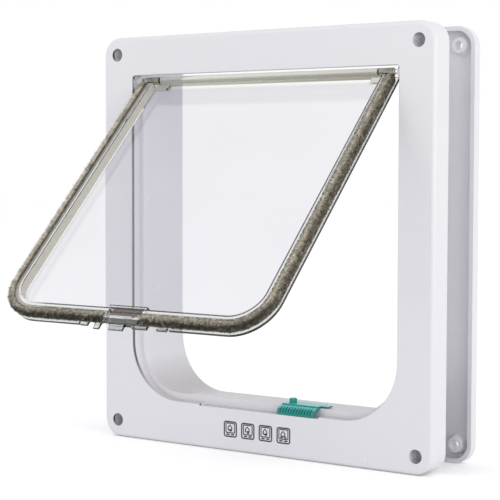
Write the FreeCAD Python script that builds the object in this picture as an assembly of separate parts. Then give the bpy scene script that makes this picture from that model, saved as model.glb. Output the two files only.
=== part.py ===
import FreeCAD, Part
import math
import os

# Cat flap with a brush-sealed swinging panel and a four-position lock.
# Millimetres. X runs to the right seen from indoors, Y from indoors to outdoors, Z up.
# Origin: centre of the four fixing screws, on the plane where the indoor frame meets the door.

# Frames and door
frame_width = 235.0
frame_height = 250.0
frame_corner = 11.5
frame_edge_round = 2.4
front_depth = 15.0
rear_depth = 8.0
face_wall = 3.0
side_wall = 2.5
door_gap = 30.5

# Opening and tunnel
side_border = 23.1
top_border = 24.0
sill_border = 26.6
opening_corner = 35.0
opening_top_corner = 1.5
lip_depth = 2.5
ceiling_rise = 5.0
sleeve_wall = 1.6
sleeve_length = 35.0
rear_sleeve_wall = 1.8
sleeve_clearance = 0.4
sleeve_overlap = 17.0
opening_edge_round = 0.8

# Stop rib inside the front frame
rib_set_back = 7.5
rib_depth = 7.9
rib_side_height = 2.8
rib_sill_height = 3.8
rib_corner = 29.0

# Fixing screws
screw_inset = 10.75
counterbore = 8.0
screw_hole = 4.3
screw_seat = 4.0
post_wall = 1.8
boss_base = 13.0
boss_end = 8.6
boss_hole = 5.0
boss_set_back = 0.5

# Hinge
hinge_set_back = 7.5
hinge_drop = 3.1
pin_diameter = 3.0
pin_running_gap = 0.08
pin_grip = 10.0
pin_overhang = 10.0
barrel_diameter = 4.8
barrel_end_gap = 3.6
bearing_diameter = 8.0
bearing_pad = 5.0
bearing_pad_rise = 4.9
bearing_pad_drop = 8.1
snap_recess = 1.3
snap_recess_height = 7.2
rest_angle = 44.5

# Swinging panel, in its own plane: across, down from the hinge, and out to the front
flange_corner = 20.0
flange_width = 3.6
flange_wall = 1.3
flange_front = 1.4
panel_wall = 1.6
rim_depth = 8.0
web_wall = 1.6
rear_flange_margin = 2.9
rear_sill_margin = 3.7
rim_top = 1.6
panel_rise = 1.3
shelf_wall = 1.6
gusset_width = 10.4
gusset_drop = 4.0
gusset_depth = 1.4
gusset_corner = 2.6
end_play_shift = -0.9

# Brush strips
pile_margin = 4.3
pile_sill_margin = 4.6
pile_side_gap = 1.3
pile_sill_gap = 4.6
pile_front_lift = 2.3
pile_back_gap = 0.8
pile_gap = 0.05
pile_tip_round = 1.6
pile_holder_gap = 0.4
brush_top = 3.4

# Magnets
holder_x = 1.5
holder_half = 12.9
holder_top_rise = 1.8
holder_end_inset = 0.9
holder_wall = 1.3
cap_wall = 1.1
cap_edge_round = 0.3
flap_magnet_size = (19.4, 4.9, 4.8)
magnet_fit = 0.1
sill_magnet_size = (30.0, 4.4, 6.0)
pocket_wall = 1.4
cover_thickness = 1.3

# Lock
edge_teeth = ((-31.2, -26.0), (-21.0, -17.2), (-10.4, -1.0), (4.6, 14.5), (21.0, 27.7))
locking_teeth = (1, 2)
teeth_margins = (0.8, 1.6)
tooth_root = 0.4
tooth_tip = 0.3
lock_pitch = 12.75
lock_positions = 4
slider_width = 25.3
slider_lead = 5.0
slider_plate = 0.8
slider_clearance = 0.3
slider_tail = 1.3
slider_tail_corner = 2.0
hook_inset = 2.0
bead_inset = 4.0
slot_bed_margin = 3.0
slot_bed_depth = 4.5
slider_hook_drop = 3.4
slot_left = -42.5
slot_right = 43.3
slot_drop = 1.1
lug_diameter = 4.6
lug_set_back = 10.25
lug_height = 3.0
lug_dome = 0.9
grip_profile = ((0.0, 0.3), (0.1, 1.6), (0.5, 2.9), (1.4, 3.9), (3.0, 4.6), (5.0, 5.1), (6.9, 5.4))
grip_wall = 1.4
grip_grooves = 12
grip_groove_width = 1.0
grip_groove_depth = 0.6
grip_groove_reach = 4.2
grip_end_band = 0.8
tongue_length = 4.6
tongue_width = 5.0
tongue_set_back = 9.0
tooth_clearance = 2.4
lock_tab_wall = 1.2
groove_height = 1.8
groove_depth = 0.8
bead_height = 1.0

# Position marks
mark_width = 9.6
mark_height = 9.6
mark_level = 13.4
mark_line = 0.75
mark_ink = 0.12
mark_corner = 1.6
inner_ring_rise = 0.7
inner_ring_width = 6.9
inner_ring_height = 6.2
inner_ring_line = 0.55
inner_ring_corner = 0.8
house_place = (-0.3, 0.9)
house_size = 1.6
arrow_size = 1.0
arrow_turns = ((180,), (90,), (0,), (0, 180))
single_arrow = (0.2, 0.9)
paired_arrow = (1.3, 1.2)
dash_offset = 1.7
dash_length = 2.2
dash_line = 0.8
dash_drop = 3.6

# Places worked out from the sizes above
half_width = frame_width / 2
half_height = frame_height / 2
front_y = -front_depth
rear_y = door_gap
rear_back_y = rear_y + rear_depth
opening_half = half_width - side_border
opening_top = half_height - top_border
sill_z = -half_height + sill_border
ceiling_z = opening_top + ceiling_rise
rib_y0 = front_y + rib_set_back
rib_y1 = rib_y0 + rib_depth
rib_half = opening_half - rib_side_height
rib_z = sill_z + rib_sill_height
screw_x = half_width - screw_inset
screw_z = half_height - screw_inset
hinge_y = front_y + hinge_set_back
hinge_z = opening_top - hinge_drop
barrel_length = 2 * (rib_half - barrel_end_gap)
flange_half = rib_half - pile_side_gap - pile_margin
flange_reach = hinge_z - rib_z - pile_sill_gap - pile_sill_margin
panel_back = flange_front - rim_depth
panel_front = panel_back + panel_wall
lip_back = flange_front - flange_wall
web_half = flange_half - flange_width
web_reach = flange_reach - flange_width
web_corner = flange_corner - flange_width
rear_half = flange_half + rear_flange_margin
rear_reach = flange_reach + rear_sill_margin
rear_corner = flange_corner + rear_flange_margin
plate_z = rib_z + slider_clearance
plate_top = plate_z + slider_plate
lock_reach = hinge_z - plate_top - tooth_clearance
teeth_left = edge_teeth[0][0] - teeth_margins[0]
teeth_right = edge_teeth[-1][1] + teeth_margins[1]
lock_x = [lock_pitch * (i - (lock_positions - 1) / 2) for i in range(lock_positions)]
lug_x = lock_x[-1]
lug_y = front_y + lug_set_back
slider_x0 = lug_x - slider_lead
slider_x1 = slider_x0 + slider_width
big = 2 * frame_height

RIGHT = FreeCAD.Vector(1, 0, 0)
BACK = FreeCAD.Vector(0, 1, 0)
UP = FreeCAD.Vector(0, 0, 1)


def vec(x, y, z):
    return FreeCAD.Vector(x, y, z)


def box(x0, x1, y0, y1, z0, z1):
    return Part.makeBox(x1 - x0, y1 - y0, z1 - z0, vec(x0, y0, z0))


def rod(x, y, z, radius, length, direction):
    return Part.makeCylinder(radius, length, vec(x, y, z), direction)


def rounded_slab(half, low, high, r_low, r_high, y0, y1):
    """A plate seen from the front, with rounded lower and upper corners, from y0 to y1."""
    corners = [(-half, low, r_low), (half, low, r_low), (half, high, r_high), (-half, high, r_high)]
    edges = []
    starts = []
    for i, (x, z, r) in enumerate(corners):
        px, pz, _ = corners[i - 1]
        nx, nz, _ = corners[(i + 1) % 4]
        here = vec(x, y0, z)
        back = (vec(px, y0, pz) - here).normalize()
        ahead = (vec(nx, y0, nz) - here).normalize()
        first = here + back * r
        last = here + ahead * r
        middle = here + (back + ahead) * (r * (1 - math.sqrt(0.5)))
        starts.append(first)
        edges.append((first, middle, last))
    wire = []
    for i, (first, middle, last) in enumerate(edges):
        wire.append(Part.Arc(first, middle, last).toShape())
        wire.append(Part.makeLine(last, starts[(i + 1) % 4]))
    face = Part.Face(Part.Wire(wire))
    return face.extrude(vec(0, y1 - y0, 0))


def prism_x(points, x0, x1):
    """A solid of the given Y, Z outline from x0 to x1."""
    loop = [vec(x0, y, z) for y, z in points]
    face = Part.Face(Part.makePolygon(loop + loop[:1]))
    return face.extrude(vec(x1 - x0, 0, 0))


def prism_y(points, y0, y1):
    """A solid of the given X, Z outline from y0 to y1."""
    loop = [vec(x, y0, z) for x, z in points]
    face = Part.Face(Part.makePolygon(loop + loop[:1]))
    return face.extrude(vec(0, y1 - y0, 0))


def fillet_where(shape, radius, test):
    """Round the edges whose box passes the test."""
    return shape.makeFillet(radius, [e for e in shape.Edges if test(e.BoundBox)])


def join(first, *others):
    return first.fuse(list(others)).removeSplitter()


def at_corners(make):
    return [make(sx * screw_x, sz * screw_z) for sx in (-1, 1) for sz in (-1, 1)]


# Indoor frame

def front_shell():
    outer = rounded_slab(half_width, -half_height, half_height, frame_corner, frame_corner, front_y, 0)
    outer = fillet_where(outer, frame_edge_round, lambda b: b.YMax < front_y + 0.01)
    hollow = rounded_slab(half_width - side_wall, side_wall - half_height, half_height - side_wall,
                          frame_corner - side_wall, frame_corner - side_wall, front_y + face_wall, 1)
    return outer.cut(hollow)


def tunnel(grow, y0, y1):
    """The tunnel's outline, offset outwards by grow."""
    return rounded_slab(opening_half + grow, sill_z - grow, ceiling_z + grow,
                        opening_corner + grow, opening_top_corner + grow, y0, y1)


def stop_rib():
    band = tunnel(0, rib_y0, rib_y1)
    inside = rounded_slab(rib_half, rib_z, ceiling_z + big, rib_corner, 1, rib_y0 - 1, rib_y1 + 1)
    return band.cut(inside)


def screw_posts():
    radius = counterbore / 2 + post_wall
    start = front_y + face_wall / 2
    return at_corners(lambda x, z: rod(x, start, z, radius, front_depth - face_wall / 2, BACK))


def screw_bores():
    sunk = front_depth - screw_seat
    deep = at_corners(lambda x, z: rod(x, front_y - 1, z, counterbore / 2, 1 + sunk, BACK))
    through = at_corners(lambda x, z: rod(x, front_y - 1, z, screw_hole / 2, front_depth + 2, BACK))
    return deep + through


def bearing(side):
    """Boss inside the opening and pad behind the wall that carry one hinge pin."""
    boss = rod(side * rib_half, hinge_y, hinge_z, bearing_diameter / 2, rib_side_height + sleeve_wall,
               RIGHT * side)
    x = sorted((side * opening_half, side * (opening_half + bearing_pad)))
    pad = box(x[0], x[1], front_y + face_wall / 2, rib_y1 - bearing_diameter / 2,
              hinge_z - bearing_pad_drop, hinge_z + bearing_pad_rise)
    return [boss, pad]


def bearing_cuts(side):
    """Snap-in recess that opens to the front, and the pin's bore."""
    mouth = snap_recess_height / 2
    neck = pin_diameter / 2
    outline = [(front_y + opening_edge_round, hinge_z + neck - snap_recess_height),
               (hinge_y - bearing_diameter / 2, hinge_z - mouth * 0.8),
               (hinge_y, hinge_z - neck),
               (hinge_y, hinge_z + neck),
               (front_y + opening_edge_round, hinge_z + neck)]
    x = sorted((side * opening_half, side * (opening_half + snap_recess)))
    recess = prism_x(outline, x[0] - 0.01, x[1])
    keep = rod(side * rib_half, hinge_y, hinge_z, bearing_diameter / 2, big, RIGHT * side)
    bore = rod(side * (rib_half - 1), hinge_y, hinge_z, pin_diameter / 2 + pin_running_gap,
               pin_overhang + 1, RIGHT * side)
    return [recess.cut(keep), bore]


def slider_bed():
    """Thicker sill under the slider's slot."""
    return box(slot_left - slot_bed_margin, slot_right + slot_bed_margin, front_y + face_wall / 2, rib_y1 - 1,
               sill_z - slot_bed_depth, sill_z)


def slider_slot():
    return box(slot_left, slot_right, front_y - 1, rib_y0, sill_z - slot_drop, sill_z + rib_sill_height)


def groove():
    """Groove behind the rib that the slider's hook runs in."""
    low = rib_z - slider_hook_drop + slider_clearance
    return box(slot_left + lock_pitch, slot_right - 1, rib_y1 - groove_depth, rib_y1 + 1,
               low, low + groove_height)


pocket_top = sill_z - sleeve_wall
pocket_y1 = -slider_clearance
pocket_depth = sill_magnet_size[1] + magnet_fit + cover_thickness
pocket_y0 = pocket_y1 - pocket_depth


def magnet_pocket():
    half = sill_magnet_size[0] / 2 + magnet_fit + pocket_wall
    return box(-half, half, pocket_y0 - pocket_wall, pocket_y1,
               pocket_top - sill_magnet_size[2] - pocket_wall, pocket_top)


def magnet_cavity():
    half = sill_magnet_size[0] / 2 + magnet_fit
    return box(-half, half, pocket_y0, pocket_y1 + 1, pocket_top - sill_magnet_size[2], pocket_top)


def front_frame():
    shell = front_shell()
    sleeve = tunnel(sleeve_wall, front_y + face_wall / 2, sleeve_length)
    posts = screw_posts()
    body = join(shell, sleeve, *posts, *bearing(-1), *bearing(1), slider_bed(), magnet_pocket())
    lip = rounded_slab(opening_half, sill_z, opening_top, opening_corner, opening_top_corner,
                       front_y - 1, front_y + big)
    passage = tunnel(0, front_y + lip_depth, big)
    body = body.cut([lip, passage])
    body = fillet_where(body, opening_edge_round, lambda b: b.YMax < front_y + 0.01
                        and max(b.XMax, -b.XMin) < opening_half + 0.01 and b.ZMax < opening_top + 0.01
                        and b.ZMin > sill_z - 0.01)
    body = join(body, stop_rib(), *[bearing(s)[0] for s in (-1, 1)])
    body = body.cut(screw_bores() + bearing_cuts(-1) + bearing_cuts(1))
    body = body.cut([slider_slot(), groove(), magnet_cavity()])
    return body.removeSplitter()


# Outdoor frame

def rear_frame():
    outer = rounded_slab(half_width, -half_height, half_height, frame_corner, frame_corner,
                         rear_y, rear_back_y)
    outer = fillet_where(outer, frame_edge_round, lambda b: b.YMin > rear_back_y - 0.01)
    floor_y = rear_back_y - face_wall
    hollow = rounded_slab(half_width - side_wall, side_wall - half_height, half_height - side_wall,
                          frame_corner - side_wall, frame_corner - side_wall, rear_y - 1, floor_y)
    inner = sleeve_wall + sleeve_clearance
    sleeve = tunnel(inner + rear_sleeve_wall, rear_y - sleeve_overlap, rear_back_y - face_wall / 2)
    end_y = rear_y + boss_set_back
    boss_length = floor_y - end_y + face_wall / 2
    bosses = at_corners(lambda x, z: Part.makeCone(boss_end / 2, boss_base / 2, boss_length,
                                                   vec(x, end_y, z), BACK))
    holes = at_corners(lambda x, z: rod(x, rear_y - 1, z, boss_hole / 2, rear_depth + 2, BACK))
    body = join(outer.cut(hollow), sleeve, *bosses)
    return body.cut([tunnel(inner, rear_y - big / 2, rear_y + big)] + holes).removeSplitter()


# Swinging panel, built closed and then turned to the angle it rests at

def flap_y(front):
    return hinge_y - front


def flap_z(down):
    return hinge_z - down


def flap_slab(half, top, reach, corner, n0, n1):
    """A slab of the panel: half width, from top to reach below the hinge, n0 to n1 towards the front."""
    return rounded_slab(half, flap_z(reach), flap_z(top), corner, 0.5, flap_y(n1), flap_y(n0))


def flap_box(x0, x1, v0, v1, n0, n1):
    return box(x0, x1, flap_y(n1), flap_y(n0), flap_z(v1), flap_z(v0))


def opened(shape):
    """Turn a piece of the closed panel to its resting place, at the left end of its play."""
    turned = shape.copy()
    turned.translate(RIGHT * end_play_shift)
    turned.rotate(vec(0, hinge_y, hinge_z), RIGHT, -rest_angle)
    return turned


def rim():
    """Channel round the panel: a web that stands on it and a front flange."""
    outer_web = web_half + web_wall
    web = flap_slab(outer_web, rim_top, web_reach + web_wall, web_corner + web_wall, panel_back, flange_front)
    lip = flap_slab(flange_half, rim_top, flange_reach, flange_corner, lip_back, flange_front)
    inside = flap_slab(web_half, rim_top - 1, web_reach, web_corner, panel_front, flange_front + 1)
    return join(web, lip).cut(inside)


def gussets():
    """Rounded pads that stiffen the sheet's upper corners between the web and the shelf."""
    shapes = []
    for side in (-1, 1):
        inner_x = side * (web_half - gusset_width)
        x = sorted((side * web_half, inner_x))
        tab = flap_box(x[0], x[1], -panel_rise, gusset_drop, panel_back, panel_front + gusset_depth)
        tab = fillet_where(tab, gusset_corner, lambda b: abs(b.XMin - inner_x) < 0.01 and b.XLength < 0.01
                           and b.YLength > 1 and b.ZMax < flap_z(gusset_drop) + 0.01)
        shapes.append(tab)
    return shapes


holder_top = web_reach - holder_top_rise
holder_end = rear_reach - holder_end_inset
cavity_half = holder_half - holder_wall
cavity_top = holder_top + holder_wall
cavity_end = holder_end - holder_wall
magnet_front = panel_front + flap_magnet_size[2]


def holder_box(half, v0, v1, n0, n1):
    return flap_box(holder_x - half, holder_x + half, v0, v1, n0, n1)


def holder_walls():
    """Four walls that stand on the panel round the magnet, and a lip that hangs in front of the lug."""
    block = holder_box(holder_half, holder_top, holder_end, panel_back, flange_front)
    lip = holder_box(cavity_half, cavity_end, lock_reach, lip_back, flange_front)
    cavity = holder_box(cavity_half, cavity_top, cavity_end, panel_front, flange_front + 1)
    return join(block, lip).cut(cavity)


def edge_cuts():
    """Gaps between the teeth of the panel's lower edge."""
    edges = [teeth_left] + [x for tooth in edge_teeth for x in tooth] + [teeth_right]
    low = flange_reach + tooth_root
    return [flap_box(a, b, low, big, panel_back - 1, panel_front) for a, b in zip(edges[::2], edges[1::2])]


def tooth_tabs():
    """Tips of the teeth; the locking ones are long enough to meet the lug from behind."""
    reach = [lock_reach if i in locking_teeth else rear_reach + tooth_tip for i in range(len(edge_teeth))]
    return [flap_box(a, b, flange_reach, low, panel_back, panel_back + lock_tab_wall)
            for (a, b), low in zip(edge_teeth, reach)]


def flap_panel():
    sheet = flap_slab(rear_half, -panel_rise, rear_reach, rear_corner, panel_back, panel_front)
    barrel = rod(-barrel_length / 2, hinge_y, hinge_z, barrel_diameter / 2, barrel_length, RIGHT)
    shelf = flap_box(-web_half - web_wall, web_half + web_wall, -panel_rise, shelf_wall - panel_rise,
                     panel_back, 0)
    body = join(sheet, rim(), barrel, shelf, *gussets())
    clear = holder_box(holder_half, holder_top, big, panel_front, flange_front + 1)
    body = body.cut([clear] + edge_cuts())
    body = join(body, holder_walls(), *tooth_tabs())
    for side in (-1, 1):
        body = body.cut(rod(side * (barrel_length / 2 - pin_grip), hinge_y, hinge_z, pin_diameter / 2,
                            big, RIGHT * side))
    return body.removeSplitter()


def magnet_cap():
    """Clear window pressed in front of the magnet."""
    cap = holder_box(cavity_half - magnet_fit, cavity_top + magnet_fit, cavity_end - magnet_fit,
                     flange_front - cap_wall, flange_front)
    return fillet_where(cap, cap_edge_round, lambda b: b.YMax < flap_y(flange_front) + 0.01)


def flap_magnet():
    top = cavity_top + magnet_fit
    return holder_box(flap_magnet_size[0] / 2, top, top + flap_magnet_size[1], panel_front, magnet_front)


def brush_strip(side):
    """Pile strip glued in the channel: a woven backing and the bristles that stand out of it."""
    root = web_half + web_wall + pile_gap
    reach = web_reach + web_wall + pile_gap
    corner = web_corner + web_wall + pile_gap
    groove_back = panel_front + pile_gap
    groove_front = flange_front - flange_wall - pile_gap
    hole = flap_slab(root, brush_top - 9, reach, corner, groove_back - 5, flange_front + 5)
    body = flap_slab(rear_half, brush_top, rear_reach, rear_corner, groove_back, groove_front)
    past = flange_half + pile_gap
    tips = flap_slab(flange_half + pile_margin, brush_top, flange_reach + pile_sill_margin,
                     flange_corner + pile_margin, groove_back + pile_back_gap,
                     flange_front - flange_wall + pile_front_lift)
    tips = fillet_where(tips, pile_tip_round, lambda b: b.YLength < 0.01 and b.ZMin < flap_z(brush_top) - 1)
    tips = tips.cut(flap_slab(past, brush_top - 9, flange_reach + pile_gap, flange_corner + pile_gap,
                              groove_back - 5, flange_front + 5))
    ring = join(body.cut(hole), tips)
    near = holder_x + side * (holder_half + pile_holder_gap)
    x = sorted((near, side * big))
    return ring.common(box(x[0], x[1], -big, big, -big, big))


def hinge_pin(side):
    start = barrel_length / 2 - pin_grip
    length = rib_half + pin_overhang - start - 2
    return rod(side * start, hinge_y, hinge_z, pin_diameter / 2, length, RIGHT * side)


# Sill magnet

def sill_magnet():
    half = sill_magnet_size[0] / 2
    low = pocket_top - sill_magnet_size[2]
    return box(-half, half, pocket_y0, pocket_y0 + sill_magnet_size[1], low, pocket_top - magnet_fit)


def magnet_cover():
    half = sill_magnet_size[0] / 2 + magnet_fit
    low = pocket_top - sill_magnet_size[2]
    return box(-half, half, pocket_y1 - cover_thickness, pocket_y1, low, pocket_top)


# Lock slider

def offset_inwards(points, distance):
    """Points of an open outline moved to its lower side."""
    moved = []
    for i, (y, z) in enumerate(points):
        y0, z0 = points[max(i - 1, 0)]
        y1, z1 = points[min(i + 1, len(points) - 1)]
        length = math.hypot(y1 - y0, z1 - z0)
        moved.append((y + (z1 - z0) / length * distance, z - (y1 - y0) / length * distance))
    return moved


def grip_band(top, bottom, reach):
    """Y, Z outline of the curved grip between two depths under its surface, up to reach behind its foot."""
    foot_y = front_y + slider_clearance
    foot_z = sill_z - slot_drop
    surface = [(foot_y + y, foot_z + z) for y, z in grip_profile if y <= reach]
    upper = offset_inwards(surface, top) if top else surface
    return upper + offset_inwards(surface, bottom)[::-1]


def grip():
    shell = prism_x(grip_band(0, grip_wall, big), slider_x0, slider_x1)
    foot = box(slider_x0, slider_x1, front_y + slider_clearance, front_y + slider_clearance + grip_wall,
               sill_z - slot_drop + slider_clearance, sill_z - slot_drop + slider_clearance + grip_end_band)
    pitch = (slider_width - grip_groove_width) / (grip_grooves + 1)
    cuts = []
    for i in range(grip_grooves):
        x = slider_x0 + (i + 1) * pitch
        cuts.append(prism_x(grip_band(-1, grip_groove_depth, grip_groove_reach), x, x + grip_groove_width))
    low = box(slider_x0, slider_x1, front_y - 1, rib_y0, sill_z - big, sill_z - slot_drop + slider_clearance
              + grip_end_band)
    return join(shell.cut([c.cut(low) for c in cuts]), foot)


def lock_slider():
    plate_y0 = rib_y0 - slider_clearance - grip_wall
    plate_y1 = rib_y1 + slider_clearance + slider_tail
    plate = box(slider_x0, slider_x1, plate_y0, plate_y1, plate_z, plate_top)
    plate = fillet_where(plate, slider_tail_corner,
                         lambda b: b.ZLength > 0.1 and b.XLength < 0.01 and b.YMin > 0)
    tongue_y = front_y + tongue_set_back
    tongue = box(slider_x1 - 1, slider_x1 + tongue_length, tongue_y, tongue_y + tongue_width,
                 plate_z, plate_top)
    tail_y = rib_y1 + slider_clearance
    hook = box(slider_x0 + hook_inset, slider_x1 - hook_inset, tail_y, tail_y + slider_tail,
               rib_z - slider_hook_drop, plate_top - slider_plate / 2)
    bead_z = rib_z - slider_hook_drop + slider_clearance + (groove_height - bead_height) / 2
    bead = box(slider_x0 + bead_inset, slider_x1 - bead_inset, rib_y1 - groove_depth / 2,
               tail_y + slider_tail / 2, bead_z, bead_z + bead_height)
    lug = rod(lug_x, lug_y, plate_z, lug_diameter / 2, slider_plate + lug_height, UP)
    lug = fillet_where(lug, lug_dome, lambda b: b.ZMin > plate_top + 1)
    return join(plate, grip(), tongue, hook, bead, lug)


# Printed marks for the four lock positions

def mark_ring(x, z, width, height, line, corner):
    outer = rounded_slab(width / 2, -height / 2, height / 2, corner, corner, front_y - mark_ink, front_y)
    inner = rounded_slab(width / 2 - line, line - height / 2, height / 2 - line,
                         corner - line, corner - line, front_y - 1, front_y + 1)
    ring = outer.cut(inner)
    ring.translate(vec(x, 0, z))
    return ring


def mark_house(x, z, size):
    """Outline of a small house."""
    def outline(s):
        return [(x - s, z - s), (x + s, z - s), (x + s, z + s * 0.2), (x, z + s * 1.2), (x - s, z + s * 0.2)]
    solid = prism_y(outline(size), front_y - mark_ink, front_y)
    return solid.cut(prism_y(outline(size - mark_line * 0.8), front_y - 1, front_y + 1))


def mark_arrow(x, z, size, turn):
    """Solid arrow head and shaft, turned in steps of a quarter."""
    points = [(-size, -size * 0.3), (0, -size * 0.3), (0, -size * 0.9), (size, 0),
              (0, size * 0.9), (0, size * 0.3), (-size, size * 0.3)]
    shape = prism_y([(x + px, z + pz) for px, pz in points], front_y - mark_ink, front_y)
    shape.rotate(vec(x, 0, z), BACK, turn)
    return shape


def position_mark(index):
    x = lock_x[index]
    z = -half_height + mark_level
    rings = [mark_ring(x, z, mark_width, mark_height, mark_line, mark_corner),
             mark_ring(x, z + inner_ring_rise, inner_ring_width, inner_ring_height, inner_ring_line,
                       inner_ring_corner)]
    house = mark_house(x + house_place[0], z + house_place[1], house_size)
    turns = arrow_turns[index]
    offset, drop = single_arrow if len(turns) == 1 else paired_arrow
    arrows = [mark_arrow(x + side * offset, z - drop, arrow_size, turn) for side, turn in zip((1, -1), turns)]
    dashes = []
    for side in (-1, 1):
        middle = x + side * dash_offset
        left, right, low = middle - dash_length / 2, middle + dash_length / 2, z - dash_drop
        dashes.append(prism_y([(left, low), (right, low), (right, low + dash_line), (left, low + dash_line)],
                              front_y - mark_ink, front_y))
    return Part.makeCompound(rings + [house] + arrows + dashes)


def main():
    os.makedirs("parts", exist_ok=True)
    nodes = {
        "front_frame": front_frame(),
        "rear_frame": rear_frame(),
        "flap_panel": opened(flap_panel()),
        "flap_magnet": opened(flap_magnet()),
        "magnet_cap": opened(magnet_cap()),
        "sill_magnet": sill_magnet(),
        "sill_magnet_cover": magnet_cover(),
        "lock_slider": lock_slider(),
    }
    for name, side in (("left", -1), ("right", 1)):
        nodes["hinge_pin_" + name] = opened(hinge_pin(side))
        nodes["brush_strip_" + name] = opened(brush_strip(side))
    for i in range(lock_positions):
        nodes["position_mark_%d" % (i + 1)] = position_mark(i)
    for name, shape in nodes.items():
        shape.exportStep("parts/%s.step" % name)
        print("%-20s solids %2d volume %10.1f valid %s"
              % (name, len(shape.Solids), shape.Volume, shape.isValid()))


main()
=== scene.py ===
import math
import random
from bisect import bisect_right

import bpy
from mathutils import Matrix, Vector, noise

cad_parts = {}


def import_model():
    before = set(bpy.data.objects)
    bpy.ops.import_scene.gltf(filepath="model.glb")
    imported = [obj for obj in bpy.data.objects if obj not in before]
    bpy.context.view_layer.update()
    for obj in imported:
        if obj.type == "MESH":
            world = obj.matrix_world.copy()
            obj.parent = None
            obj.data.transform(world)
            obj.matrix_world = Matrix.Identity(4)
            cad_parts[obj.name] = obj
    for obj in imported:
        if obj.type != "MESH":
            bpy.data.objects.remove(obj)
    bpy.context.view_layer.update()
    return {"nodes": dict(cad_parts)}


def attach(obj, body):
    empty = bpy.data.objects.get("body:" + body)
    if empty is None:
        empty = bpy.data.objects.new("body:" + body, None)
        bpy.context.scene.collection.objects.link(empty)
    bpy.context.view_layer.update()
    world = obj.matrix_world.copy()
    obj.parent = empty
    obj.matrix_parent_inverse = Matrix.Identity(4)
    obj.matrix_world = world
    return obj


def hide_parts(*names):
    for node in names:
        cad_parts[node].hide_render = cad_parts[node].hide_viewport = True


# Cat flap: looks of the CAD nodes, the brush pile as real bristles, light and camera.
# Metres, in the CAD frame. Flap coordinates are x across, v down from the hinge and n out to the
# front, in mm.

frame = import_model()
nodes = frame["nodes"]
random.seed(41)

MM = 0.001

# Hinge axis, rest angle, and the panel's directions at rest
HINGE = Vector((0.0, -7.5, 97.9)) * MM
REST = math.radians(44.5)
DOWN = Vector((0.0, -math.sin(REST), -math.cos(REST)))
OUT = Vector((0.0, -math.cos(REST), math.sin(REST)))

# End play of the flap, centre of the rim's right lower corner, and the frame's front face, in mm
SHIFT = -0.9
CORNER_X = 66.0
CORNER_V = 163.3
FRONT_Y = -15.0

# Magnet holder, in flap coordinates
HOLDER_X = 1.5
HOLDER_HALF = 12.9
HOLDER_TOP = 177.9
HOLDER_END = 186.1


def on_flap(x, v, n):
    return Vector((x * MM, 0, 0)) + HINGE + DOWN * (v * MM) + OUT * (n * MM)


# Materials

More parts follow.
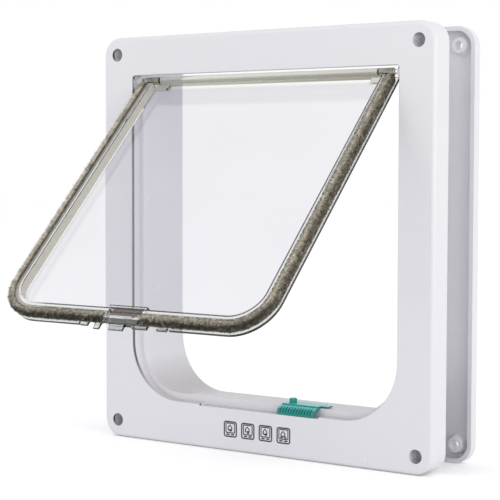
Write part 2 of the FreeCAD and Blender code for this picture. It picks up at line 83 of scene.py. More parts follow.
class Nodes:
    """Short way to build the node tree of a material or a world."""

    def __init__(self, owner, output="ShaderNodeOutputMaterial"):
        self.owner = owner
        owner.use_nodes = True
        self.tree = owner.node_tree
        self.tree.nodes.clear()
        self.out = self.add(output)

    def add(self, kind, **values):
        node = self.tree.nodes.new(kind)
        for key, value in values.items():
            setattr(node, key, value)
        return node

    def link(self, a, b):
        self.tree.links.new(a, b)

    def surface(self, shader):
        """Link the whole look to the output, and give back the material or world."""
        self.link(shader, self.out.inputs["Surface"])
        return self.owner

    def noise(self, scale, detail=4.0, rough=0.5):
        where = self.add("ShaderNodeTexCoord")
        texture = self.add("ShaderNodeTexNoise")
        texture.inputs["Scale"].default_value = scale
        texture.inputs["Detail"].default_value = detail
        texture.inputs["Roughness"].default_value = rough
        self.link(where.outputs["Object"], texture.inputs["Vector"])
        return texture.outputs["Fac"]

    def ramp(self, fac, stops):
        ramp = self.add("ShaderNodeValToRGB")
        while len(ramp.color_ramp.elements) < len(stops):
            ramp.color_ramp.elements.new(0.5)
        for element, (place, colour) in zip(ramp.color_ramp.elements, stops):
            element.position = place
            element.color = (*colour, 1.0)
        self.link(fac, ramp.inputs["Fac"])
        return ramp.outputs["Color"]

    def spread(self, fac, low, high):
        span = self.add("ShaderNodeMapRange")
        span.inputs["To Min"].default_value = low
        span.inputs["To Max"].default_value = high
        self.link(fac, span.inputs["Value"])
        return span.outputs["Result"]

    def bump(self, fac, strength):
        bump = self.add("ShaderNodeBump")
        bump.inputs["Strength"].default_value = strength
        bump.inputs["Distance"].default_value = BUMP_HEIGHT
        self.link(fac, bump.inputs["Height"])
        return bump.outputs["Normal"]

    def maths(self, operation, a, b=None):
        node = self.add("ShaderNodeMath", operation=operation)
        for socket, value in zip(node.inputs, (a, b)):
            if isinstance(value, (int, float)):
                socket.default_value = value
            elif value is not None:
                self.link(value, socket)
        return node.outputs["Value"]

    def length(self, a, b):
        """Distance from zero of a place with the coordinates a and b."""
        squares = self.maths("ADD", self.maths("MULTIPLY", a, a), self.maths("MULTIPLY", b, b))
        return self.maths("SQRT", squares)

    def dot(self, vector, direction):
        node = self.add("ShaderNodeVectorMath", operation="DOT_PRODUCT")
        node.inputs[1].default_value = direction
        self.link(vector, node.inputs[0])
        return node.outputs["Value"]

    def above(self, value, edge, soft):
        """0 below the edge and 1 above it."""
        span = self.add("ShaderNodeMapRange")
        span.inputs["From Min"].default_value = edge - soft
        span.inputs["From Max"].default_value = edge + soft
        self.link(value, span.inputs["Value"])
        return span.outputs["Result"]

    def below(self, value, edge, soft):
        return self.maths("SUBTRACT", 1.0, self.above(value, edge, soft))

    def within(self, value, low, high, soft):
        return self.maths("SUBTRACT", self.above(value, low, soft), self.above(value, high, soft))

    def both(self, *masks):
        product = masks[0]
        for mask in masks[1:]:
            product = self.maths("MULTIPLY", product, mask)
        return product

    def mixed(self, colour, other, mask, blend="MIX"):
        """The first colour turned into the other by the mask."""
        mix = self.add("ShaderNodeMix", data_type="RGBA", blend_type=blend)
        sockets = (mix.inputs[6], mix.inputs[7], mix.inputs["Factor"])
        for socket, value in zip(sockets, (colour, other, mask)):
            if isinstance(value, tuple):
                socket.default_value = (*value, 1.0)
            elif isinstance(value, float):
                socket.default_value = value
            else:
                self.link(value, socket)
        return mix.outputs[2]

    def mixed_shaders(self, mask, shader, other):
        mix = self.add("ShaderNodeMixShader")
        for socket, value in zip(mix.inputs, (mask, shader, other)):
            self.link(value, socket)
        return mix.outputs["Shader"]

    def seen(self):
        """1 for what the camera sees, also through the clear panel or in a gloss, else 0."""
        path = self.add("ShaderNodeLightPath")
        direct = self.maths("MAXIMUM", path.outputs["Is Camera Ray"], path.outputs["Is Transmission Ray"])
        return self.maths("MAXIMUM", direct, path.outputs["Is Glossy Ray"])

    def background(self, colour, strength):
        light = self.add("ShaderNodeBackground")
        light.inputs["Color"].default_value = (*colour, 1.0)
        light.inputs["Strength"].default_value = strength
        return light.outputs["Background"]

    def principled(self, **values):
        shader = self.add("ShaderNodeBsdfPrincipled")
        for key, value in values.items():
            shader.inputs[key.replace("_", " ")].default_value = value
        return shader


def new_material(name):
    return Nodes(bpy.data.materials.new(name))


def srgb(r, g, b):
    """A colour as read in the photo, as the linear value a shader wants."""
    def line(c):
        c = c / 255
        return c / 12.92 if c <= 0.04045 else ((c + 0.055) / 1.055) ** 2.4
    return (line(r), line(g), line(b))


ACROSS = (1, 0, 0)
INWARD = (0, 1, 0)
UP = (0, 0, 1)
UNDER = (0, 0, -1)
BUMP_HEIGHT = 0.0002

# Moulded plastic: noise scales, and the spread of the gloss
FLOW_SCALE = 9.0
GLOSS_SCALE = 60.0
GRAIN_SCALE = 1800.0
GLOSSIER = 0.04
DULLER = 0.06
WHITE = (0.838, 0.832, 0.864)
WHITE_ROUGH = 0.24
TEAL = srgb(8, 150, 140)
# Painted highlight: the lighter teal for the slider's faces turned up
TEAL_PAINTED_HIGHLIGHT = srgb(96, 196, 192)
TEAL_ROUGH = 0.3
TEAL_GRAIN = 0.05
TEAL_TINT = 0.9

# Painted shade on the front frame's opening: limits in metres, depths in mm behind the front face
LEFT_OF = -0.03
SILL_BELOW = -0.07
EDGE_PAINTED_SHADOW_DEPTH = (0.1, 2.0)
TOP_PAINTED_SHADE_DEPTH = 7.0
# Colours of the painted shadow line along the left front edge, and of the painted shade on the sill and
# under the top edge
EDGE_PAINTED_SHADOW = srgb(62, 60, 64)
EDGE_PAINTED_SHADOW_STRENGTH = 0.95
SILL_PAINTED_SHADE = srgb(198, 193, 196)
TOP_PAINTED_SHADE = srgb(176, 178, 172)

# Places on the clear panel in mm: levels of n, and distances from the hinge
FRONT_LEVEL = 1.1
PAD_LEVEL = -3.0
SHEET_LEVEL = -4.5
HINGE_STRIP = 2.6
BORE_RADIUS = 2.1
PAD_REACH = 4.1

# Distances outwards from the rim's corner centres, in mm
PAD_ASIDE = 5.0
RIM_FOOT = (15.6, 16.6)
FLANGE_FROM = 16.4
REAR_FLANGE_FROM = 20.0
# Beyond this the rim's end faces get a painted dark reflection
CUT_END_FROM = 22.2
# The painted dark reflection line along the front flange's inner edge, and the painted shadow line by the
# pile at its outer edge
FIRST_PAINTED_DARK_LINE = (16.2, 17.35)
SECOND_PAINTED_SHADOW_LINE = (18.3, 19.1)
SECOND_PAINTED_SHADOW_MORE_BELOW = 0.7

# Bands of painted dark reflection at the magnet holder's top and end in mm, and the tone of light that
# passes the panel
HOLDER_LINE = (-0.3, 0.8)
HOLDER_END_BAND = 0.4
THROUGH = (0.93, 0.925, 0.94, 1.0)


def moulded(name, colour, rough, grain=0.03, tint=0.985, opening=False, top=None):
    """Moulded plastic: faint flow tone, varying gloss and a very fine grain; with opening, painted shade
    round the opening, and with top, a painted highlight on faces turned up.
    """
    m = new_material(name)
    shader = m.principled(IOR=1.5)
    darker = tuple(c * tint for c in colour)
    tone = m.ramp(m.noise(FLOW_SCALE, 2.0), [(0.35, darker), (0.65, colour)])
    if opening:
        tone = opening_shade(m, tone)
    # Painted highlight: faces turned up take the lighter top colour
    if top:
        where = m.add("ShaderNodeTexCoord")
        tone = m.mixed(tone, top, m.above(m.dot(where.outputs["Normal"], UP), 0.85, 0.1))
    m.link(tone, shader.inputs["Base Color"])
    gloss = m.spread(m.noise(GLOSS_SCALE, 3.0), rough - GLOSSIER, rough + DULLER)
    m.link(gloss, shader.inputs["Roughness"])
    m.link(m.bump(m.noise(GRAIN_SCALE, 2.0), grain), shader.inputs["Normal"])
    return m.surface(shader.outputs["BSDF"])


def opening_shade(m, tone):
    """Painted shade: a dark shadow line round the opening's left front edge, a greyer sill, and grey
    shade under its top edge.
    """
    where = m.add("ShaderNodeTexCoord")
    place, normal = where.outputs["Object"], where.outputs["Normal"]
    depth = m.maths("SUBTRACT", m.maths("MULTIPLY", m.dot(place, INWARD), 1 / MM), FRONT_Y)
    left = m.below(m.dot(place, ACROSS), LEFT_OF, 0.001)
    facing = m.above(m.dot(normal, ACROSS), 0.45, 0.4)
    # Painted shadow line on the faces just behind the left front edge that face across
    line = m.both(m.within(depth, *EDGE_PAINTED_SHADOW_DEPTH, 0.4), left, facing)
    tone = m.mixed(tone, EDGE_PAINTED_SHADOW, m.maths("MULTIPLY", line, EDGE_PAINTED_SHADOW_STRENGTH))
    # Painted shade on the sill's upward faces
    sill = m.both(m.below(m.dot(place, UP), SILL_BELOW, 0.01), m.above(m.dot(normal, UP), 0.6, 0.3))
    tone = m.mixed(tone, SILL_PAINTED_SHADE, sill)
    # Painted shade on the downward faces just behind the top edge
    under = m.above(m.dot(normal, UNDER), 0.7, 0.2)
    return m.mixed(tone, TOP_PAINTED_SHADE, m.both(m.below(depth, TOP_PAINTED_SHADE_DEPTH, 3.0), under))


def clear_plastic():
    """Clear plastic: pale through its faces, painted shade and a painted highlight by the hinge, and
    painted dark reflections and a painted shadow line along the edges and ends of the rim and the edges
    of the magnet holder.
    """
    m = new_material("clear_polycarbonate")
    glass = m.principled(IOR=1.45, Transmission_Weight=1.0)
    where = m.add("ShaderNodeTexCoord")
    place, normal = where.outputs["Object"], where.outputs["Normal"]
    x = m.maths("SUBTRACT", m.dot(place, (1 / MM, 0, 0)), SHIFT)
    v = m.maths("SUBTRACT", m.dot(place, DOWN / MM), HINGE.dot(DOWN) / MM)
    n = m.maths("SUBTRACT", m.dot(place, OUT / MM), HINGE.dot(OUT) / MM)
    aside = m.maths("MAXIMUM", m.maths("SUBTRACT", m.maths("ABSOLUTE", x), CORNER_X), 0.0)
    under = m.maths("MAXIMUM", m.maths("SUBTRACT", v, CORNER_V), 0.0)
    rim = m.length(aside, under)
    facing = m.dot(normal, OUT)
    front = m.above(facing, 0.5, 0.1)
    wall = m.below(m.maths("ABSOLUTE", facing), 0.5, 0.15)
    high = m.above(n, FRONT_LEVEL, 0.05)
    deep = m.both(front, m.below(n, SHEET_LEVEL, 0.2))

    flow = m.ramp(m.noise(12.0, 2.0), [(0.3, (0.97, 0.97, 0.97)), (0.7, (1.0, 1.0, 1.0))])
    colour = m.mixed(srgb(240, 239, 243), flow, 1.0, "MULTIPLY")
    colour = m.mixed(colour, srgb(244, 244, 237), wall)
    # Painted dark reflection on the rim's end faces, out on the right
    painted_dark_ends = m.both(wall, m.above(rim, CUT_END_FROM, 0.15), m.above(x, -40.0, 30.0))
    colour = m.mixed(colour, srgb(54, 56, 52), painted_dark_ends)

    # The hinge's strip, with painted shade on its lower faces, darker towards the right, and a painted
    # highlight on its upper faces; its bore, and the pads on the sheet's upper corners
    lower = m.mixed(srgb(200, 199, 184), srgb(160, 157, 142), m.above(x, 0.0, 80.0))
    hinge_shade_and_highlight = m.mixed(lower, srgb(252, 252, 252), m.above(m.dot(normal, UP), 0.1, 0.15))
    colour = m.mixed(colour, hinge_shade_and_highlight, m.below(v, HINGE_STRIP, 0.2))
    colour = m.mixed(colour, srgb(246, 246, 243), m.below(m.length(v, n), BORE_RADIUS, 0.1))
    pad = m.both(m.below(v, PAD_REACH, 0.2), m.above(aside, PAD_ASIDE, 0.2), front,
                 m.below(n, PAD_LEVEL, 0.2))
    colour = m.mixed(colour, srgb(216, 217, 205), pad)

    # The rim: its foot on the sheet, the flanges, and along the front flange's edges a painted dark
    # reflection line and a dotted painted shadow line where the pile lies on it
    colour = m.mixed(colour, srgb(214, 215, 217), m.both(deep, m.within(rim, *RIM_FOOT, 0.3)))
    colour = m.mixed(colour, srgb(228, 227, 218), m.both(front, high, m.above(rim, FLANGE_FROM, 0.1)))
    colour = m.mixed(colour, srgb(226, 229, 224), m.both(deep, m.above(rim, REAR_FLANGE_FROM, 0.2)))
    dotted = m.above(m.noise(620.0, 1.0), 0.42, 0.12)
    shown = m.both(front, high, m.above(x, -64.0, 8.0), m.above(v, 3.0, 1.0))
    colour = m.mixed(colour, srgb(40, 42, 38), m.both(shown, m.within(rim, *FIRST_PAINTED_DARK_LINE, 0.1)))
    # Painted shadow line where the pile lies on the flange, further out along the lower edge
    further = m.maths("MULTIPLY", m.above(under, 8.0, 6.0), SECOND_PAINTED_SHADOW_MORE_BELOW)
    pile_edge_shadow = m.within(m.maths("SUBTRACT", rim, further), *SECOND_PAINTED_SHADOW_LINE, 0.1)
    colour = m.mixed(colour, srgb(46, 44, 38), m.both(shown, pile_edge_shadow, dotted))

    # Painted dark reflections on the magnet holder's top outline and lower end
    holder = m.below(m.maths("ABSOLUTE", m.maths("SUBTRACT", x, HOLDER_X)), HOLDER_HALF, 0.05)
    top_line = [HOLDER_TOP + more for more in HOLDER_LINE]
    outline = m.both(front, high, holder, m.within(v, *top_line, 0.1))
    colour = m.mixed(colour, srgb(60, 62, 58), outline)
    end = m.both(wall, holder, m.above(v, HOLDER_END - HOLDER_END_BAND, 0.1))
    colour = m.mixed(colour, srgb(59, 65, 62), end)

    m.link(colour, glass.inputs["Base Color"])
    m.link(m.spread(m.noise(40.0, 3.0), 0.01, 0.035), glass.inputs["Roughness"])
    through = m.add("ShaderNodeBsdfTransparent")
    through.inputs["Color"].default_value = THROUGH
    path = m.add("ShaderNodeLightPath")
    either = m.maths("MAXIMUM", path.outputs["Is Shadow Ray"], path.outputs["Is Diffuse Ray"])
    return m.surface(m.mixed_shaders(either, glass.outputs["BSDF"], through.outputs["BSDF"]))


def pile_material():
    """Brush pile: the tone, painted shade and painted light of the pile from black to pale, is kept in
    the UV map, over speckled fibres.
    """
    m = new_material("brush_pile")
    shader = m.principled(Roughness=0.75, Sheen_Weight=0.25, Sheen_Roughness=0.4)
    across = m.add("ShaderNodeUVMap", uv_map="UVMap")
    split = m.add("ShaderNodeSeparateXYZ")
    m.link(across.outputs["UV"], split.inputs["Vector"])
    # From painted shade at 0 through the pile's own brown-grey to painted light at 1
    tone = m.ramp(split.outputs["Y"], [(0.0, srgb(46, 42, 35)), (0.25, srgb(86, 79, 67)),
                                       (0.5, srgb(130, 123, 110)), (0.75, srgb(172, 165, 151)),
                                       (1.0, srgb(216, 210, 198))])
    speck = m.ramp(m.noise(750.0, 3.0, 0.8), [(0.34, (0.55, 0.54, 0.52)), (0.66, (1.55, 1.54, 1.52))])
    wave = m.ramp(m.noise(140.0, 3.0), [(0.35, (0.82, 0.81, 0.8)), (0.65, (1.12, 1.12, 1.12))])
    tone = m.mixed(m.mixed(tone, speck, 1.0, "MULTIPLY"), wave, 1.0, "MULTIPLY")
    m.link(tone, shader.inputs["Base Color"])
    return m.surface(shader.outputs["BSDF"])


def woven_backing():
    """Pale woven tape that the pile is set in, seen through the clear channel."""
    m = new_material("pile_backing")
    shader = m.principled(Roughness=0.8)
    weave = m.add("ShaderNodeTexWave", wave_type="BANDS", bands_direction="DIAGONAL")
    weave.inputs["Scale"].default_value = 900.0
    weave.inputs["Distortion"].default_value = 1.5
    where = m.add("ShaderNodeTexCoord")
    m.link(where.outputs["Object"], weave.inputs["Vector"])
    tone = m.ramp(weave.outputs["Fac"], [(0.2, srgb(206, 204, 194)), (0.8, srgb(232, 230, 221))])
    m.link(tone, shader.inputs["Base Color"])
    m.link(m.bump(weave.outputs["Fac"], 0.3), shader.inputs["Normal"])
    return m.surface(shader.outputs["BSDF"])


def speckled(name, tones, gloss, metallic=0.0):
    """Fine speckle between two tones: (noise settings, stops), and a gloss (scale, low, high)."""
    m = new_material(name)
    shader = m.principled(Metallic=metallic)
    settings, stops = tones
    m.link(m.ramp(m.noise(*settings), stops), shader.inputs["Base Color"])
    scale, low, high = gloss
    m.link(m.spread(m.noise(scale), low, high), shader.inputs["Roughness"])
    return m.surface(shader.outputs["BSDF"])


def ferrite():
    stops = [(0.35, srgb(88, 74, 66)), (0.65, srgb(122, 106, 97))]
    return speckled("ferrite_magnet", ((500.0, 5.0, 0.7), stops), (300.0, 0.35, 0.55), 0.35)


def printed():
    stops = [(0.3, srgb(28, 28, 30)), (0.7, srgb(46, 46, 48))]
    return speckled("printed_black", ((900.0, 2.0), stops), (500.0, 0.45, 0.6))


white = moulded("white_abs", WHITE, WHITE_ROUGH)
clear = clear_plastic()
mark_finish = printed()
finishes = {
    # The front frame has its own copy of the white plastic, with painted shade round the opening
    "front_frame": moulded("white_abs_front_painted_shade", WHITE, WHITE_ROUGH, opening=True),
    "rear_frame": white,
    "sill_magnet_cover": white,
    "flap_panel": clear,
    "magnet_cap": clear,
    "flap_magnet": ferrite(),
    "sill_magnet": ferrite(),
    # The slider's faces turned up carry a painted highlight
    "lock_slider": moulded("teal_abs", TEAL, TEAL_ROUGH, TEAL_GRAIN, TEAL_TINT, top=TEAL_PAINTED_HIGHLIGHT),
}
for name, piece in nodes.items():
    if name.startswith("hinge_pin"):
        finishes[name] = clear
    if name.startswith("position_mark"):
        finishes[name] = mark_finish
    if name in finishes:
        piece.data.materials.clear()
        piece.data.materials.append(finishes[name])


# Brush pile: a dense core that bulges out of the channel, covered with bristles
# Sizes in mm. R is the distance outwards from the channel's floor, N the distance to the front.

ROOT = 84.05
ROOT_CORNER = 18.05
ROOT_REACH = 181.35
TOP = 3.4
GAP_ENDS = {-1: 11.8, 1: 14.8}
PATH_STEP = 1.2
BACK = -4.95
GROOVE_FRONT = 0.05
LIP = 1.95
TIP = 6.25
TIP_MORE_BELOW = 0.3

# Outline of the bulge from the flange over the front and the tips to the back:
# place along it, share of the way from flange to tips, N, and how far the tips are drawn in
BULGE = [(0.0, 0.05, 1.5, 0.0), (0.1, 0.1, 1.95, 0.0), (0.22, 0.2, 2.25, 0.0), (0.35, 0.45, 2.38, 0.0),
         (0.48, 0.76, 2.3, 0.0), (0.6, 0.98, 1.4, 0.0), (0.72, 1.0, 0.0, 0.0), (0.86, 1.0, -2.4, 0.4),
         (1.0, 1.0, -4.4, 1.4)]
OVER_FLANGE = 0.75
OVER_FLANGE_FADE = 3.0

# Painted light and shade by place along the bulge's outline: lighter where it faces the light, darker in
# the crease by the flange and on its shaded faces, and different on the left, right and lower strips as
# the light falls on them
PAINTED_LIGHT_TONES = {
    "left": [(0.0, 0.35), (0.1, 0.35), (0.22, 0.7), (0.35, 1.0), (0.48, 1.15), (0.6, 1.15), (1.0, 1.0)],
    "right": [(0.0, 0.0), (0.05, 0.15), (0.1, 0.95), (0.35, 1.0), (0.46, 0.85), (0.58, 0.58), (0.8, 0.5),
              (1.0, 0.55)],
    "below": [(0.0, 0.0), (0.05, 0.15), (0.1, 0.9), (0.22, 0.95), (0.35, 0.85), (0.48, 0.55), (0.6, 0.18),
              (0.72, 0.08), (0.86, 0.3), (1.0, 0.45)],
}
MIDDLE_TONE = 0.5

# The core under the bristles, in painted shade darker than the bristles over it
CORE_LIP_GAP = 0.05
CORE_BACK_GAP = 0.1
CORE_FRONT = 1.45
CORE_TONE = 0.3
CORE_PAINTED_SHADE = 0.15
CORE_UNDER_TIPS = 0.55
CORE_UNDER_FRONT = 0.3

# Bristles: count, share and length past the outline of short and long ones, and of the fuzz
BRISTLES = 60000
TOWARDS_BACK = 0.9
SHORT_SHARE = 0.8
SHORT = (-0.3, 0.05)
LONG = (0.0, 0.6)
FUZZ_PLACES = (0.45, 0.8)
FUZZ_SHARE = 0.3
FUZZ = (0.2, 0.9)

# A blade's start, its length and widths, its lean along the strip, and its tones, with painted shade at
# the root and a painted highlight at the tip
LIP_GAP = 0.06
LIP_ROOM = 0.3
FRONT_START = (0.9, 1.1)
MOUTH_START = (-0.4, -0.6)
MOUTH_SLOPE = 3.0
BLADE = 1.9
BLADE_SHARE = 0.8
HALF_WIDTH = (0.05, 0.11)
TIP_WIDTH = 0.4
LEAN = 0.35
LEAN_SPREAD = 0.3
SPLAY_ZONE = 4.0
SPLAY = 3.0
TONE_SPREAD = 0.1
ROOT_PAINTED_SHADE = 0.2
TIP_PAINTED_HIGHLIGHT = 0.08

# Tufts: how fine they are along and across the strip, and what they do to length, lean and tone
TUFT = 0.55
STRAND = 1.6
TUFT_ACROSS = 5.0
SIDE_APART = 20.0
TUFT_LENGTH = 0.4
TUFT_LEAN = 0.8
TUFT_TONE = 0.75

# The bristles' tips by the hinge, where the open flap still stands between the stop ribs
NEAR_HINGE = 40.0
REACH_NEAR_HINGE = 6.45


def between(table, u):
    """Values of a table of rows that start with a place, at place u."""
    for low, high in zip(table, table[1:]):
        if u <= high[0]:
            t = (u - low[0]) / (high[0] - low[0])
            return [low[k] + (high[k] - low[k]) * t for k in range(1, len(low))]
    return list(table[-1][1:])


def clamped(value, low, high):
    return min(max(value, low), high)


def channel_path(side):
    """Points along the channel's floor from the top down the side to the gap, with outward normals."""
    straight = ROOT_REACH - ROOT_CORNER
    centre = ROOT - ROOT_CORNER
    count = int((straight - TOP) / PATH_STEP)
    points = [(ROOT, TOP + (straight - TOP) * i / count, 1.0, 0.0) for i in range(count + 1)]
    turns = int(ROOT_CORNER * math.pi / 2 / PATH_STEP)
    for i in range(1, turns + 1):
        a = math.pi / 2 * i / turns
        c, s = math.cos(a), math.sin(a)
        points.append((centre + ROOT_CORNER * c, straight + ROOT_CORNER * s, c, s))
    length = centre - GAP_ENDS[side]
    count = int(length / PATH_STEP)
    points += [(centre - length * i / count, ROOT_REACH, 0.0, 1.0) for i in range(1, count + 1)]
    return points


class Pile:
    """One brush strip. Places in it are s along the channel, u round the bulge, and R and N."""

    def __init__(self, side):
        self.side = side
        self.path = channel_path(side)
        self.lengths = [0.0]
        for a, b in zip(self.path, self.path[1:]):
            self.lengths.append(self.lengths[-1] + math.hypot(b[0] - a[0], b[1] - a[1]))
        self.total = self.lengths[-1]
        self.verts = []
        self.faces = []
        self.tones = []
        self.slots = []

    def along(self, s):
        """Place and outward normal at distance s along the path."""
        low = clamped(bisect_right(self.lengths, s) - 1, 0, len(self.lengths) - 2)
        t = (s - self.lengths[low]) / (self.lengths[low + 1] - self.lengths[low])
        return [a + (b - a) * t for a, b in zip(self.path[low], self.path[low + 1])]

    def point(self, s, r, n):
        inside = clamped(s, 0.0, self.total)
        x, v, nx, nv = self.along(inside)
        past = s - inside
        return on_flap(self.side * (x + nx * r - nv * past) + SHIFT, v + nv * r + nx * past, n)

    def downward(self, s):
        """0 on the side, 1 on the lower edge, and between them in the corner."""
        return self.along(clamped(s, 0.0, self.total))[3]

    def bulge(self, s, u):
        """R, N on the bulge's outline at distance s and place u."""
        down = self.downward(s)
        tip = TIP + TIP_MORE_BELOW * down
        share, n, drawn = between(BULGE, u)
        over = OVER_FLANGE * (1.0 - down) * max(0.0, 1.0 - OVER_FLANGE_FADE * u)
        return LIP + (tip - LIP) * share - drawn - over, n

    # Painted light and shade at a place, from the side's table blended into the lower edge's
    def tone(self, s, u):
        aside = between(PAINTED_LIGHT_TONES["left" if self.side < 0 else "right"], u)[0]
        below = between(PAINTED_LIGHT_TONES["below"], u)[0]
        return aside + (below - aside) * self.downward(s)

    def tube(self, rows, slot, tones):
        """Closed skin through one ring of R, N points per path point, with a tone for each."""
        first = len(self.verts)
        count = len(rows[0])
        for s, row in zip(self.lengths, rows):
            for r, n in row:
                self.verts.append(self.point(s, r, n))
        for i in range(len(rows) - 1):
            for k in range(count):
                a = first + i * count + k
                b = first + i * count + (k + 1) % count
                near, far = tones[i][k], tones[i][(k + 1) % count]
                self.add_face((a, b, b + count, a + count), (near, far, far, near), slot)
        for i in (0, len(rows) - 1):
            self.add_face(tuple(first + i * count + k for k in range(count)), tuple(tones[i]), slot)

    def add_face(self, corners, tones, slot):
        self.faces.append(corners)
        self.tones.append(tones)
        self.slots.append(slot)

    def core(self):
        rows = []
        tones = []
        for s in self.lengths:
            ring = [(LIP + CORE_LIP_GAP, BACK + CORE_BACK_GAP), (LIP + CORE_LIP_GAP, CORE_FRONT)]
            shade = [CORE_TONE, CORE_TONE]
            for u, *_ in BULGE:
                r, n = self.bulge(s, u)
                if u >= 0.3:
                    r = max(r - CORE_UNDER_TIPS, LIP + LIP_GAP)
                if 0.05 < u < 0.6:
                    n -= CORE_UNDER_FRONT
                ring.append((r, n))
                # Painted shade: the core takes the bristles' tone made darker
                shade.append(max(self.tone(s, u) - CORE_PAINTED_SHADE, 0.0))
            rows.append(ring)
            tones.append(shade)
        self.tube(rows, 0, tones)

    def backing(self):
        ring = [(0.0, BACK), (0.0, GROOVE_FRONT), (LIP, GROOVE_FRONT), (LIP, BACK)]
        count = len(self.lengths)
        self.tube([ring] * count, 1, [[MIDDLE_TONE] * len(ring)] * count)

    def tuft(self, s, u, layer):
        """Soft random value that bristles close to each other share."""
        place = (u * TUFT_ACROSS, SIDE_APART * self.side + layer)
        return noise.noise(Vector((s * TUFT, *place))) + noise.noise(Vector((s * STRAND, *place)))

    def bristle(self, s, u, more):
        """A thin blade that ends on the bulge's outline and points away from the channel's mouth."""
        r, n = self.bulge(s, u)
        if r < LIP + LIP_ROOM:
            from_r, from_n = LIP + FRONT_START[0], FRONT_START[1]
        else:
            from_r, from_n = LIP + MOUTH_START[0], MOUTH_START[1] - MOUTH_SLOPE * u
        more += TUFT_LENGTH * self.tuft(s, u, 1.0)
        if FUZZ_PLACES[0] < u < FUZZ_PLACES[1] and random.random() < FUZZ_SHARE:
            more += random.uniform(*FUZZ)
        dr, dn = r - from_r, n - from_n
        size = math.hypot(dr, dn)
        dr, dn = dr / size, dn / size
        blade = min(BLADE, size * BLADE_SHARE)
        start_r, start_n = r - dr * blade, n - dn * blade
        if r > LIP + LIP_ROOM:
            start_r = max(start_r, LIP + LIP_GAP)
        end_r, end_n = r + dr * more, n + dn * more
        if s < NEAR_HINGE:
            end_r = min(end_r, REACH_NEAR_HINGE)
        twist = random.uniform(0.0, math.pi)
        half = random.uniform(*HALF_WIDTH)
        across, up = half * math.cos(twist), half * math.sin(twist)
        slip = random.gauss(0.0, LEAN_SPREAD) + TUFT_LEAN * self.tuft(s, u, 2.0) + LEAN
        if s > self.total - SPLAY_ZONE:
            slip += random.uniform(0.0, SPLAY) * (s - self.total + SPLAY_ZONE) / SPLAY_ZONE
        k = len(self.verts)
        ends = ((s, start_r, start_n, (-1.0, 1.0)), (s + slip, end_r, end_n, (TIP_WIDTH, -TIP_WIDTH)))
        for place, r, n, ways in ends:
            for way in ways:
                self.verts.append(self.point(place + across * way, r + dn * up * way, n - dr * up * way))
        tone = self.tone(s, u) + random.gauss(0.0, TONE_SPREAD) + TUFT_TONE * self.tuft(s, u, 3.0)
        # Painted shade at the blade's root and a painted highlight at its tip
        low = clamped(tone - ROOT_PAINTED_SHADE, 0.0, 1.0)
        high = clamped(tone + TIP_PAINTED_HIGHLIGHT, 0.0, 1.0)
        self.add_face((k, k + 1, k + 2, k + 3), (low, low, high, high), 0)

    def piece(self, name):
        mesh = bpy.data.meshes.new(name)
        mesh.from_pydata([tuple(v) for v in self.verts], [], self.faces)
        mesh.materials.append(PILE)
        mesh.materials.append(BACKING)
        uv = mesh.uv_layers.new(name="UVMap")
        corner = 0
        for polygon, tones, slot in zip(mesh.polygons, self.tones, self.slots):
            polygon.material_index = slot
            for value in tones:
                uv.data[corner].uv = (0.5, value)
                corner += 1
        mesh.update()
        made = bpy.data.objects.new(name, mesh)
        bpy.context.collection.objects.link(made)
        return made


def build_pile(side, name):
    pile = Pile(side)
    pile.core()
    pile.backing()
    for _ in range(BRISTLES):
        s = random.uniform(0.0, pile.total)
        u = random.random() ** TOWARDS_BACK
        pile.bristle(s, u, random.uniform(*(SHORT if random.random() < SHORT_SHARE else LONG)))
    return pile.piece(name)


PILE = pile_material()
BACKING = woven_backing()
for side, name in ((-1, "left"), (1, "right")):
    pile = build_pile(side, "bristles_" + name)
    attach(pile, "flap")
    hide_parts("brush_strip_" + name)


# Floor, light and camera

FLOOR_HALF = 6.0
FLOOR_Z = -0.125
FLOOR_GLOW = 0.27
LIGHT_COLOUR = (0.98, 0.985, 1.0)
LIGHT_STRENGTH = 0.81
CENTRE = (0.0, 0.0, 0.0)
CAMERA_PLACE = (0.51752, -0.75352, 0.04478)
CAMERA_ANGLES = (35.287, 3.079, 0.158)
CAMERA_LENS = 110.79


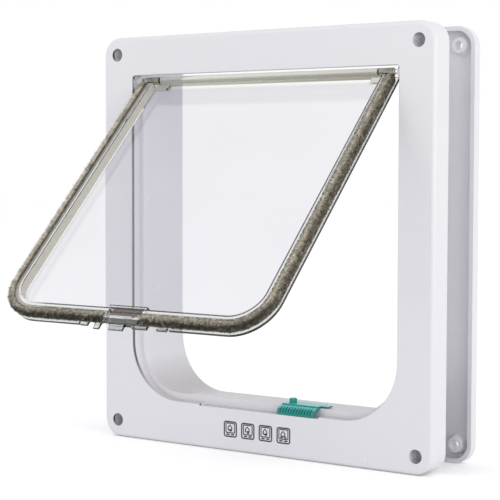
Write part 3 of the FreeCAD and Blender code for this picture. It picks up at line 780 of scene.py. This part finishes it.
def floor():
    """White floor that takes the shadow, and looks as white as the background."""
    mesh = bpy.data.meshes.new("floor")
    corners = [(x * FLOOR_HALF, y * FLOOR_HALF, FLOOR_Z) for x, y in ((-1, -1), (1, -1), (1, 1), (-1, 1))]
    mesh.from_pydata(corners, [], [(0, 1, 2, 3)])
    m = new_material("floor_white")
    diffuse = m.add("ShaderNodeBsdfDiffuse")
    tone = m.ramp(m.noise(2.0), [(0.0, (0.9, 0.9, 0.905)), (1.0, (0.92, 0.92, 0.925))])
    m.link(tone, diffuse.inputs["Color"])
    lit = m.add("ShaderNodeEmission")
    m.link(m.spread(m.seen(), 0.0, FLOOR_GLOW), lit.inputs["Strength"])
    both = m.add("ShaderNodeAddShader")
    m.link(diffuse.outputs["BSDF"], both.inputs[0])
    m.link(lit.outputs["Emission"], both.inputs[1])
    mesh.materials.append(m.surface(both.outputs["Shader"]))
    piece = bpy.data.objects.new("floor", mesh)
    bpy.context.collection.objects.link(piece)


def world():
    """Even light all round, and a white background."""
    m = Nodes(bpy.data.worlds.new("studio"), "ShaderNodeOutputWorld")
    light = m.background(LIGHT_COLOUR, LIGHT_STRENGTH)
    white_behind = m.background((1.0, 1.0, 1.0), 1.0)
    bpy.context.scene.world = m.surface(m.mixed_shaders(m.seen(), light, white_behind))


def lamp(name, place, size, watts):
    data = bpy.data.lights.new(name, "AREA")
    data.shape = "DISK"
    data.size = size
    data.energy = watts
    piece = bpy.data.objects.new(name, data)
    piece.location = place
    piece.rotation_euler = (Vector(CENTRE) - Vector(place)).to_track_quat("-Z", "Y").to_euler()
    bpy.context.collection.objects.link(piece)


def camera():
    """The photo's camera: its angles are the azimuth, the pitch down and the roll."""
    data = bpy.data.cameras.new("camera")
    data.lens = CAMERA_LENS
    data.sensor_width = 36.0
    data.clip_start = 0.05
    data.clip_end = 50.0
    azimuth, pitch, roll = (math.radians(a) for a in CAMERA_ANGLES)
    level = math.cos(pitch)
    ahead = Vector((-math.sin(azimuth) * level, math.cos(azimuth) * level, -math.sin(pitch)))
    right = ahead.cross(Vector((0, 0, 1))).normalized()
    up = right.cross(ahead)
    turned_right = right * math.cos(roll) + up * math.sin(roll)
    turned_up = turned_right.cross(ahead)
    piece = bpy.data.objects.new("camera", data)
    axes = Matrix((turned_right, turned_up, -ahead)).transposed().to_4x4()
    piece.matrix_world = Matrix.Translation(CAMERA_PLACE) @ axes
    bpy.context.collection.objects.link(piece)
    bpy.context.scene.camera = piece


floor()
world()
lamp("side_light", (1.45, -0.5, 0.35), 1.0, 5.2)
lamp("front_light", (-0.9, -1.8, 1.3), 1.4, 4.5)
camera()
bpy.context.scene.view_settings.view_transform = "Standard"
